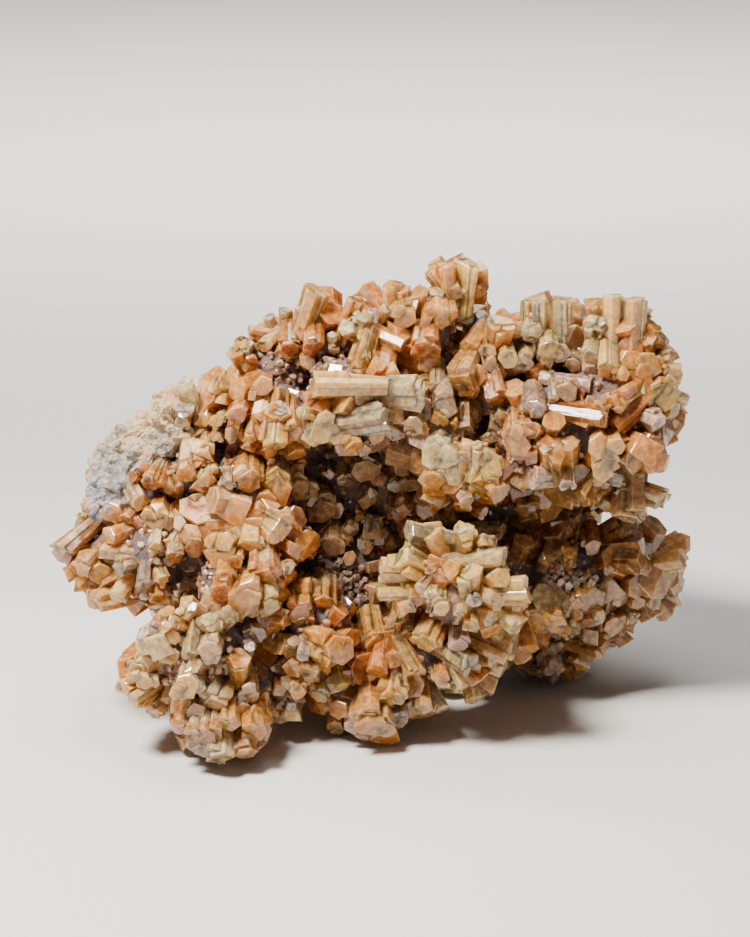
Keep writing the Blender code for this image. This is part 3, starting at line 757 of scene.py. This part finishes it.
def full_prism(chance, width, reach, root):
    """A large prism: growth ledges on its sides, a worn rim and a nearly flat or chipped end."""
    radius = width / 2
    flat, wear_and_highlight = outline(chance, radius, chance.uniform(*LARGE_WEAR), True)
    slope = [chance.uniform(-LARGE_SLOPE, LARGE_SLOPE) for _ in range(2)]
    bevel = radius * chance.uniform(*LARGE_BEVEL)
    rings = [(raised(flat, LARGE_TAPER, -root), 0.0)]
    length = reach + root
    swell = chance.uniform(0.94, 1.0)
    ledges = range(chance.choice(LEDGE_COUNTS))
    for share in sorted(chance.uniform(*LEDGE_PLACES) for _ in ledges):
        height = -root + length * share
        if height > reach - 4 * bevel or reach > SLENDER * width:
            continue
        rings.append((raised(flat, swell, height), LEDGE_WEAR_AND_HIGHLIGHT))
        swell = min(1.03, max(0.90, swell + chance.uniform(-LEDGE_STEP, LEDGE_STEP)))
        rings.append((raised(flat, swell, height + bevel * 0.5), 0.0))
    rim = raised(flat, 1.0, reach - bevel, slope)
    end = raised(flat, 1 - bevel / radius, reach, slope)
    top = (0, 0, reach + radius * chance.uniform(-0.01, 0.03))
    if chance.random() < CHIPPED:
        top = chip(chance, (rim, end), reach, radius)
    rings += [(rim, 1.0), (end, 0.0)]
    return stack(chance, rings, top, wear_and_highlight)


def plain_prism(chance, width, reach, root):
    """A middling prism: uneven, with a worn rim and a nearly flat or chipped end."""
    radius = width / 2
    rounded = chance.uniform(*MIDDLING_WEAR) if width > SHARP_WIDTH else 0.0
    flat, wear_and_highlight = outline(chance, radius, rounded, False)
    slope = [chance.uniform(-MIDDLING_SLOPE, MIDDLING_SLOPE) for _ in range(2)]
    bevel = radius * chance.uniform(*MIDDLING_BEVEL)
    rim = raised(flat, 1.0, reach - bevel, slope)
    end = raised(flat, 1 - bevel / radius, reach, slope)
    top = (0, 0, reach)
    if chance.random() < CHIPPED:
        top = chip(chance, (rim, end), reach, radius)
    rings = [(raised(flat, MIDDLING_TAPER, -root), 0.0), (rim, 1.0), (end, 0.0)]
    return stack(chance, rings, top, wear_and_highlight)


def grain_prism(chance, width, reach, root):
    """A grain of druse: a tiny prism with a blunt point."""
    radius = width / 2
    flat, wear_and_highlight = outline(chance, radius, 0.0, False)
    foot = raised(flat, GRAIN_TAPER, -root)
    shoulder = raised(flat, 1.0, reach * GRAIN_SHOULDER)
    return stack(chance, [(foot, 0.0), (shoulder, 0.0)], (0, 0, reach), wear_and_highlight)


def toned(chance, tone):
    """A crystal's own colour: its tone, made a little lighter or darker and warmer or cooler."""
    colour = linear(TONES[tone])
    light = chance.uniform(1 - 1.6 * TONE_SPREAD, 1 + TONE_SPREAD)
    warm = chance.uniform(-TONE_SPREAD, TONE_SPREAD) * 0.6
    return np.clip(colour * light * np.array([1 + warm * 0.3, 1, 1 - warm]), 0, 1)


def grow_block(growth, place, tint, tone, companions):
    """A large prism with others grown into its sides, which end a little below it."""
    chance = growth.chance
    root, axis, width, reach = place
    turn = chance.uniform(0, math.tau)
    finish = finish_of(tone)
    shape = full_prism(chance, width * 0.92, reach, ROOT_DEPTH)
    growth.add(shape, (root, axis, turn), tint, finish)
    across = axis.orthogonal().normalized()
    loose = min(1.0, width / reach)
    for _ in range(companions):
        side = Matrix.Rotation(chance.uniform(0, math.tau), 3, axis) @ across
        own_width = width * chance.uniform(0.40, 0.80)
        offset = width * 0.56 - own_width * chance.uniform(0.34, 0.55)
        own_reach = reach - width * chance.uniform(-0.04, 0.30) * loose
        own_axis = (axis + side * chance.uniform(-0.04, 0.18) * loose**2).normalized()
        own_tint = toned(chance, tone) * 0.5 + tint * 0.5
        shape = plain_prism(chance, own_width, own_reach, ROOT_DEPTH)
        own_turn = turn + chance.uniform(-0.2, 0.2)
        growth.add(shape, (root + side * offset, own_axis, own_turn), own_tint, finish)


def grow_spray(growth, places):
    """Large prisms. The widest are mosaics of many; the others carry two to four at the side."""
    chance = growth.chance
    for root, axis, width, reach, tone in places:
        tone = tone or chance.choice(REAR_TONES)
        companions = chance.choice((4, 5, 6)) if width > MOSAIC_WIDTH else chance.choice((2, 3, 4))
        grow_block(growth, (root, axis, width, reach), toned(chance, tone), tone, companions)


def crust_samples(crust, count, chance):
    """Places spread over the crust by area, with the crust's direction there."""
    mesh = crust.data
    mesh.calc_loop_triangles()
    areas = np.zeros(len(mesh.loop_triangles))
    mesh.loop_triangles.foreach_get("area", areas)
    running = np.cumsum(areas)
    picks = np.searchsorted(running, [chance.uniform(0, running[-1]) for _ in range(count)])
    samples = []
    for pick in picks:
        triangle = mesh.loop_triangles[int(pick)]
        a, b, c = (mesh.vertices[i].co for i in triangle.vertices)
        s = math.sqrt(chance.random())
        t = chance.random()
        place = a * (1 - s) + b * (s * (1 - t)) + c * (s * t)
        samples.append((place, triangle.normal.copy()))
    return samples


class Crowd:
    """Keeps the roots that are taken, in boxes, so that new ones can keep their distance."""

    def __init__(self):
        self.boxes = {}

    def near(self, place, reach):
        """The roots in the boxes that a cube about a place touches."""
        low = [math.floor((c - reach) / CROWD_PITCH) for c in place]
        high = [math.floor((c + reach) / CROWD_PITCH) for c in place]
        for x in range(low[0], high[0] + 1):
            for y in range(low[1], high[1] + 1):
                for z in range(low[2], high[2] + 1):
                    yield from self.boxes.get((x, y, z), ())

    def free(self, place, width, share):
        """Whether a crystal of a width fits between the others, overlapping them by a share."""
        for other, size in self.near(place, (width + CROWD_WIDEST) * share / 2):
            if (place - other).length < (width + size) * share / 2:
                return False
        return True

    def add(self, place, width):
        key = tuple(math.floor(c / CROWD_PITCH) for c in place)
        self.boxes.setdefault(key, []).append((place, width))


def on_sheet(point):
    """A world place as steps right and down on the sheet, and its distance from the eye."""
    sight = point - EYE
    distance = sight.dot(INTO)
    scale = EYE_DISTANCE / distance / GRID
    right = sight.dot(RIGHT) * scale + SHEET_MIDDLE[0]
    down = SHEET_MIDDLE[1] - sight.dot(UP) * scale
    return right, down, distance


def home_lobe(place, lobes):
    """The lobe whose surface is nearest to a place on the crust."""
    return min(lobes, key=lambda lobe: abs((place - lobe[0]).length - lobe[1] + CRUST_INSET))


def patch_at(place, normal):
    """The patch of small grains that a place on the front of the crust lies in, if any."""
    if normal.dot(INTO) > PATCH_FACING:
        return None
    right, down, _ = on_sheet(place)
    for patch in PATCHES:
        if math.hypot(patch[0] - right, patch[1] - down) < patch[2]:
            return patch
    return None


def middling_places(samples, lobes, large, chance):
    """Middling prisms between the large ones. Their ends keep their distance from each other
    and reach nearly as far out as the large prisms round them do."""
    crowd = Crowd()
    tree = KDTree(len(large))
    caps = []
    for i, (root, axis, width, reach, _) in enumerate(large):
        tip = root + axis * reach
        crowd.add(tip, width)
        tree.insert(root, i)
        caps.append((*on_sheet(tip), width / GRID))
    tree.balance()
    caps = np.array(caps)
    bare_centre, bare_radius = world_lobes(BARE_LOBES)[0]
    least, most = MIDDLING_WIDTHS
    swells = [math.exp(abs(chance.gauss(0, MIDDLING_SPREAD))) for _ in samples]
    widths = sorted((min(most, least * swell) for swell in swells), reverse=True)
    places = []
    for (place, normal), width in zip(samples, widths):
        centre, _ = home_lobe(place, lobes)
        outward = (place - centre).normalized()
        patch = patch_at(place, normal)
        if patch:
            width = patch[3] * GRID * chance.uniform(0.6, 1.3)
        elif (place - bare_centre).length < bare_radius + BARE_MARGIN:
            width *= BARE_SHARE
        near = [large[i] for _, i, _ in tree.find_n(place, MIDDLING_NEIGHBOURS)]
        stands = [reach * max(0.3, axis.dot(outward)) for _, axis, _, reach, _ in near]
        tilt = Vector([chance.gauss(0, MIDDLING_TILT) for _ in range(3)])
        axis = (outward * 0.6 + normal * 0.4 + tilt).normalized()
        reach = CRUST_INSET + sum(stands) / len(stands) * chance.uniform(*MIDDLING_REACHES)
        if patch:
            reach = PATCH_REACH + width * chance.uniform(0.0, 0.6)
        tip = place + axis * reach
        if not crowd.free(tip, width, MIDDLING_SHARE):
            continue
        right, down, distance = on_sheet(tip)
        gaps = np.hypot(caps[:, 0] - right, caps[:, 1] - down)
        gaps -= (caps[:, 3] + width / GRID) * CAP_SHARE
        if np.any((gaps < 0) & (distance < caps[:, 2] + CAP_DEPTH)):
            continue
        if tip.z < width * 0.4:
            continue
        if patch:
            tone = chance.choice(patch[4])
        else:
            tone = chance.choice(near)[4] or chance.choice(REAR_TONES)
        crowd.add(tip, width)
        places.append((place, axis, width, reach, tone))
    return places


def druse_places(samples, chance):
    """Grains of druse all over the crust."""
    places = []
    for place, normal in samples:
        width = chance.uniform(*DRUSE_WIDTHS)
        tilt = Vector([chance.gauss(0, DRUSE_TILT) for _ in range(3)])
        axis = (normal + tilt).normalized()
        if place.z < width:
            continue
        places.append((place, axis, width, width * chance.uniform(0.6, 1.3)))
    return places


def pale_lump(right, down, radius, lobes):
    """A lump of pale crust that stands a little proud of the core, as a centre and a radius."""
    radius *= GRID
    return core_point(right, down, lobes) + INTO * radius * PALE_SUNK, radius


def make_crust(name, lobes, inset, voxel, rough, material):
    """The mass under the crystals: the lobes melted together, with a rough, pitted surface."""
    bm = bmesh.new()
    for centre, radius in lobes:
        place = Matrix.Translation(centre)
        bmesh.ops.create_icosphere(bm, subdivisions=3, radius=radius - inset, matrix=place)
    mesh = bpy.data.meshes.new(name)
    bm.to_mesh(mesh)
    bm.free()
    piece = bpy.data.objects.new(name, mesh)
    bpy.context.scene.collection.objects.link(piece)
    melt = piece.modifiers.new("melt", "REMESH")
    melt.mode = "VOXEL"
    melt.voxel_size = voxel
    seen = piece.evaluated_get(bpy.context.evaluated_depsgraph_get())
    piece.data = bpy.data.meshes.new_from_object(seen)
    piece.modifiers.clear()
    piece.data.name = name
    normals = [vertex.normal.copy() for vertex in piece.data.vertices]
    for vertex, normal in zip(piece.data.vertices, normals):
        lump = noise.fractal(vertex.co * CRUST_LUMPS_PER_METRE, 1.0, 2.1, 4) * rough
        vertex.co += normal * lump
        vertex.co.z = max(vertex.co.z, CRUST_LOWEST)
    piece.data.materials.clear()
    piece.data.materials.append(material)
    piece.data.update()
    return piece


class Wire:
    """An output of a shader node. Sums and products of wires and numbers add Math nodes."""

    def __init__(self, shader, socket):
        self.shader = shader
        self.socket = socket

    def math(self, operation, *values):
        return self.shader.node("ShaderNodeMath", {"operation": operation}, dict(enumerate(values)))

    def __add__(self, other):
        return self.math("ADD", self, other)

    def __radd__(self, other):
        return self.math("ADD", other, self)

    def __sub__(self, other):
        return self.math("SUBTRACT", self, other)

    def __rsub__(self, other):
        return self.math("SUBTRACT", other, self)

    def __mul__(self, other):
        return self.math("MULTIPLY", self, other)

    def __rmul__(self, other):
        return self.math("MULTIPLY", other, self)

    def step(self, low, high):
        """Rises smoothly from 0 at low to 1 at high."""
        inputs = {"Value": self, "From Min": low, "From Max": high}
        settings = {"interpolation_type": "SMOOTHSTEP", "clamp": True}
        return self.shader.node("ShaderNodeMapRange", settings, inputs)


class Shader:
    """A material and its nodes."""

    def __init__(self, name):
        self.material = bpy.data.materials.new(name)
        self.material.use_nodes = True
        self.tree = self.material.node_tree
        self.surface = self.tree.nodes["Principled BSDF"]

    def put(self, socket, value):
        if isinstance(value, Wire):
            self.tree.links.new(value.socket, socket)
        elif isinstance(value, tuple) and len(value) == 3 and socket.type == "RGBA":
            socket.default_value = (*linear(value), 1)
        else:
            socket.default_value = value

    def node(self, kind, settings=None, inputs=None, output=0):
        """Adds a node, sets it, joins or fills its sockets, and gives one of its outputs."""
        node = self.tree.nodes.new(kind)
        for name, value in (settings or {}).items():
            setattr(node, name, value)
        for name, value in (inputs or {}).items():
            self.put(node.inputs[name], value)
        return Wire(self, node.outputs[output])

    def set(self, **values):
        """Sets or joins sockets of the surface, named with underscores for spaces."""
        for name, value in values.items():
            self.put(self.surface.inputs[name.replace("_", " ")], value)

    def over(self, share, **values):
        """Mixes a second surface over the first by a share."""
        base = self.surface
        output = self.tree.nodes["Material Output"]
        self.surface = self.tree.nodes.new("ShaderNodeBsdfPrincipled")
        self.set(**values)
        mix = self.tree.nodes.new("ShaderNodeMixShader")
        self.put(mix.inputs[0], share)
        self.tree.links.new(base.outputs[0], mix.inputs[1])
        self.tree.links.new(self.surface.outputs[0], mix.inputs[2])
        self.tree.links.new(mix.outputs[0], output.inputs["Surface"])

    def attribute(self, name, output):
        return self.node("ShaderNodeAttribute", {"attribute_name": name}, output=output)

    def noise(self, vector, scale, detail=3.0, roughness=0.55):
        inputs = {"Vector": vector, "Scale": scale, "Detail": detail, "Roughness": roughness}
        return self.node("ShaderNodeTexNoise", None, inputs)

    def mix(self, share, a, b, blend="MIX"):
        """Mixes two colours, each a wire or red, green and blue out of 255."""
        node = self.tree.nodes.new("ShaderNodeMix")
        node.data_type = "RGBA"
        node.blend_type = blend
        self.put(node.inputs[0], share)
        self.put(node.inputs[6], a)
        self.put(node.inputs[7], b)
        return Wire(self, node.outputs[2])

    def bump(self, height, strength, distance):
        inputs = {"Height": height, "Strength": strength, "Distance": distance}
        return self.node("ShaderNodeBump", None, inputs)

    def place(self):
        return self.node("ShaderNodeTexCoord", output="Object")

    def across(self):
        """The place from left to right, in metres."""
        return self.split(self.place(), "X")

    def dust(self, fleck):
        """How dusty the surface is: where it faces up, and most on the left."""
        speckled = self.noise(self.place(), 90, 5.0, 0.65).step(0.48, 0.60) * fleck.step(0.30, 0.55)
        leftward = 0.35 + 0.65 * self.across().step(-0.010, -0.045)
        return speckled * self.upward().step(0.0, 0.8) * leftward

    def split(self, vector, axis):
        return self.node("ShaderNodeSeparateXYZ", None, {0: vector}, axis)

    def upward(self):
        """How far the surface faces up, from -1 to 1."""
        return self.split(self.node("ShaderNodeNewGeometry", output="Normal"), "Z")


def make_crystal(name, clear_share, milk_colour, glass_colour):
    """Aragonite: milky, with clear windows. It has its own tint, clouded with a second one, is
    streaked along its sides, and deeper and browner towards the root, partly its own colour and
    partly painted shade between the crystals. Its worn edges are pale, partly wear and partly a
    painted highlight, and it is dusty where it faces up. Each face has a random painted shade and a
    polish of its own."""
    s = Shader(name)
    tint = s.attribute("tint", "Color")
    heart = s.attribute("heart", "Color")
    stand = s.attribute("stand", "Fac")
    grain = s.attribute("grain", "Vector")
    facet = s.attribute("facet", "Vector")
    shade = s.split(facet, "X")
    wear_and_highlight = s.split(facet, "Y") * 0.25
    end = s.split(facet, "Z")
    place = s.place()
    streak = s.noise(grain, 1.4, 4.0)
    fleck = s.noise(grain, 5.0, 3.0)
    cloud = s.noise(place, 170, 2.0, 0.5)
    milk = s.noise(place, 600, 3.0, 0.6)
    colour = s.mix(cloud.step(0.35, 0.65) * 0.5, tint, heart)
    colour = s.mix(milk.step(0.42, 0.72) * 0.3, colour, milk_colour)
    colour = s.mix(streak.step(0.52, 0.74) * (1 - end) * 0.06, colour, (250, 205, 150))
    # Each face is darkened and warmed by its own random share: a painted shade for the light and
    # shade that a crystal's faces catch.
    shaded_face = s.mix(1.0, colour, (236, 190, 136), "MULTIPLY")
    colour = s.mix((1 - shade) * 0.2, colour, shaded_face)
    # Darker and browner near the core: partly the crystal's own deeper colour, partly painted shade
    # between the crystals.
    sunk = s.mix(1.0, colour, (224, 202, 188), "MULTIPLY")
    colour = s.mix(1 - stand.step(0.05, 0.90), colour, sunk)
    colour = s.mix(fleck.step(0.68, 0.76) * 0.15, colour, (140, 92, 52))
    # Worn edges and ledges are painted paler: partly wear, partly a painted highlight where edges
    # catch the light.
    colour = s.mix(wear_and_highlight, colour, (255, 222, 170))
    dust = s.dust(fleck)
    colour = s.mix(dust * 0.8, colour, (246, 210, 160))
    rough = 0.05 + 0.30 * milk.step(0.45, 0.65) * shade + 0.4 * dust
    normal = s.bump(streak * 0.5 + milk * 0.6, 0.3, 0.0005)
    s.set(Base_Color=colour, Roughness=rough, IOR=1.55, Normal=normal)
    s.set(Subsurface_Weight=1.0, Subsurface_Radius=(1.0, 0.95, 0.90), Subsurface_Scale=0.003)
    s.set(Coat_Weight=0.6, Coat_Roughness=0.05, Coat_IOR=1.5)
    clarity = (1 - milk.step(0.30, 0.70)) * 0.76
    clarity += (1 - streak.step(0.30, 0.70)) * 0.12
    clarity += (1 - shade) * 0.12
    window = clarity * (1 - dust)
    low, high = clear_share
    glass = s.mix(0.6, colour, glass_colour)
    s.over(low + (high - low) * window, Base_Color=glass, Roughness=rough * 0.5, IOR=1.55,
           Transmission_Weight=1.0, Normal=normal)
    return s.material


def make_crust_material():
    """Dark mauve-brown rock under the crystals, sugared with paler grains."""
    s = Shader("dark_crust")
    place = s.place()
    broad = s.noise(place, 60, 4.0)
    fine = s.noise(place, 900, 4.0, 0.7)
    colour = s.mix(broad.step(0.4, 0.62), (84, 70, 70), (108, 82, 68))
    colour = s.mix(fine.step(0.54, 0.74) * 0.4, colour, (150, 138, 136))
    s.set(Base_Color=colour, Roughness=0.55 + 0.3 * fine)
    s.set(Normal=s.bump(fine, 0.8, 0.0006))
    return s.material


def make_pale_material():
    """The pale crust on the left flank: bluish white low down, greenish cream higher up, pinkish in
    patches, paler in flecks and darker brown where its bumps dip."""
    s = Shader("pale_crust")
    place = s.place()
    broad = s.noise(place, 110, 4.0, 0.6)
    fine = s.noise(place, 900, 4.0, 0.7)
    height = s.split(place, "Z") + (broad - 0.5) * 0.03
    colour = s.mix(height.step(0.060, 0.078), (134, 142, 146), (178, 158, 118))
    colour = s.mix(broad.step(0.50, 0.62) * 0.7, colour, (190, 132, 102))
    colour = s.mix(1 - broad.step(0.34, 0.46), colour, (112, 96, 84))
    colour = s.mix(fine.step(0.54, 0.70) * 0.6, colour, (216, 196, 164))
    colour = s.mix(1 - fine.step(0.34, 0.46), colour, (120, 92, 74))
    s.set(Base_Color=colour, Roughness=0.35 + 0.4 * fine)
    s.set(Normal=s.bump(fine + broad, 0.9, 0.0008))
    return s.material


def make_camera():
    """A camera at the eye, square to the sheet, whose frame the sheet fills."""
    camera = bpy.data.cameras.new("camera")
    camera.sensor_width = SENSOR
    camera.lens = SENSOR * EYE_DISTANCE / (SHEET_HEIGHT * GRID)
    holder = bpy.data.objects.new("camera", camera)
    bpy.context.scene.collection.objects.link(holder)
    holder.rotation_euler = (math.pi / 2 - SHEET_LEAN, 0, 0)
    holder.location = EYE
    bpy.context.scene.camera = holder


def make_light(name, place, target, power, size, colour=(1, 1, 1)):
    """A square light at a place, turned to a target."""
    light = bpy.data.lights.new(name, "AREA")
    light.energy = power
    light.size = size
    light.color = colour
    holder = bpy.data.objects.new(name, light)
    bpy.context.scene.collection.objects.link(holder)
    holder.location = place
    holder.rotation_euler = (Vector(target) - Vector(place)).to_track_quat("-Z", "Y").to_euler()


def make_studio():
    """A plain pale floor, a dim surround, a warm key light, a light above and one light on each
    side that brightens the floor beyond the specimen."""
    floor = bpy.data.meshes.new("floor")
    bm = bmesh.new()
    bmesh.ops.create_grid(bm, x_segments=1, y_segments=1, size=FLOOR_HALF)
    bm.to_mesh(floor)
    bm.free()
    holder = bpy.data.objects.new("floor", floor)
    holder.location = (0, 0, -FLOOR_SUNK)
    bpy.context.scene.collection.objects.link(holder)
    s = Shader("pale_floor")
    s.set(Base_Color=(206, 204, 200), Roughness=0.6)
    floor.materials.append(s.material)

    world = bpy.data.worlds.new("surround")
    world.use_nodes = True
    surround = world.node_tree.nodes["Background"]
    surround.inputs["Color"].default_value = SURROUND_COLOUR
    surround.inputs["Strength"].default_value = SURROUND_STRENGTH
    bpy.context.scene.world = world
    for light in LIGHTS:
        make_light(*light)
    for name, x, y in (("back", 0, 1), ("right", 1, 0), ("front", 0, -1), ("left", -1, 0)):
        place = (x * WASH_NEAR, y * WASH_NEAR, WASH_HEIGHT)
        make_light(name + "_wash", place, (x * WASH_FAR, y * WASH_FAR, 0), WASH_POWER, WASH_SIZE)


def make_finishes():
    """The crystal materials, in the order that CLOUDY, CLEAR and FROSTY count them."""
    return (
        make_crystal("cloudy_aragonite", (0.30, 0.70), (255, 202, 126), (255, 212, 140)),
        make_crystal("clear_aragonite", (0.40, 0.86), (254, 220, 164), (254, 230, 190)),
        make_crystal("frosty_aragonite", (0.0, 0.4), (228, 220, 206), (232, 222, 206)),
    )


def grow_large(lobes, finishes):
    """The pieces of large prisms, part by part and then the rest, and all the prisms' places."""
    pieces = []
    large = []
    taken = []
    for name, rows in SPRAYS.items():
        places = front_places(rows, lobes)
        large += places
        taken += [place for row, place in zip(rows, places) if in_solid(row)]
        growth = Growth(name, lobes)
        grow_spray(growth, places)
        pieces.append(growth.build(name + "_prisms", finishes))
    rear = fill_places(lobes, taken, random.Random(SEED))
    growth = Growth("rear", lobes)
    grow_spray(growth, rear)
    pieces.append(growth.build("rear_prisms", finishes))
    return pieces, large + rear


def grow_middling(places, lobes, finishes):
    """The middling prisms, as a front and a back piece."""
    pieces = []
    for side, sign in (("front", -1), ("back", 1)):
        growth = Growth(side, lobes)
        for root, axis, width, reach, tone in places:
            if (root.y - MIDPLANE) * sign < 0:
                continue
            turn = growth.chance.uniform(0, math.tau)
            shape = plain_prism(growth.chance, width, reach, ROOT_DEPTH / 2)
            tint = toned(growth.chance, tone)
            growth.add(shape, (root, axis, turn), tint, finish_of(tone))
        pieces.append(growth.build(side + "_middling_prisms", finishes))
    return pieces


def grow_druse(places, lobes, finishes):
    """The grains of druse, as one piece."""
    growth = Growth("druse", lobes)
    for root, axis, width, reach in places:
        tone = growth.chance.choice(DRUSE_TONES)
        shape = grain_prism(growth.chance, width, reach, width)
        turn = growth.chance.uniform(0, math.tau)
        growth.add(shape, (root, axis, turn), toned(growth.chance, tone), FROSTY)
    return growth.build("druse", finishes)


def make_specimen():
    """All the pieces of the specimen: both crusts and everything that grows on them."""
    lobes = world_lobes(LOBES)
    finishes = make_finishes()
    dark = make_crust_material()
    crust = make_crust("dark_crust", lobes, CRUST_INSET, CRUST_VOXEL, CRUST_ROUGHNESS, dark)
    pieces, large = grow_large(lobes, finishes)
    chance = random.Random(SEED)
    samples = crust_samples(crust, MIDDLING_TRIES, chance)
    places = middling_places(samples, lobes, large, chance)
    pieces += grow_middling(places, lobes, finishes)
    samples = crust_samples(crust, DRUSE_TRIES, chance)
    pieces.append(grow_druse(druse_places(samples, chance), lobes, finishes))
    lumps = [pale_lump(*row, lobes) for row in PALE_LUMPS]
    pale = make_crust("pale_crust", lumps, 0, PALE_VOXEL, PALE_ROUGHNESS, make_pale_material())
    return [crust, *pieces, pale]


def main():
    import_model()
    make_camera()
    make_studio()
    for piece in make_specimen():
        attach(piece, "root")
        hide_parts(NODE)


main()
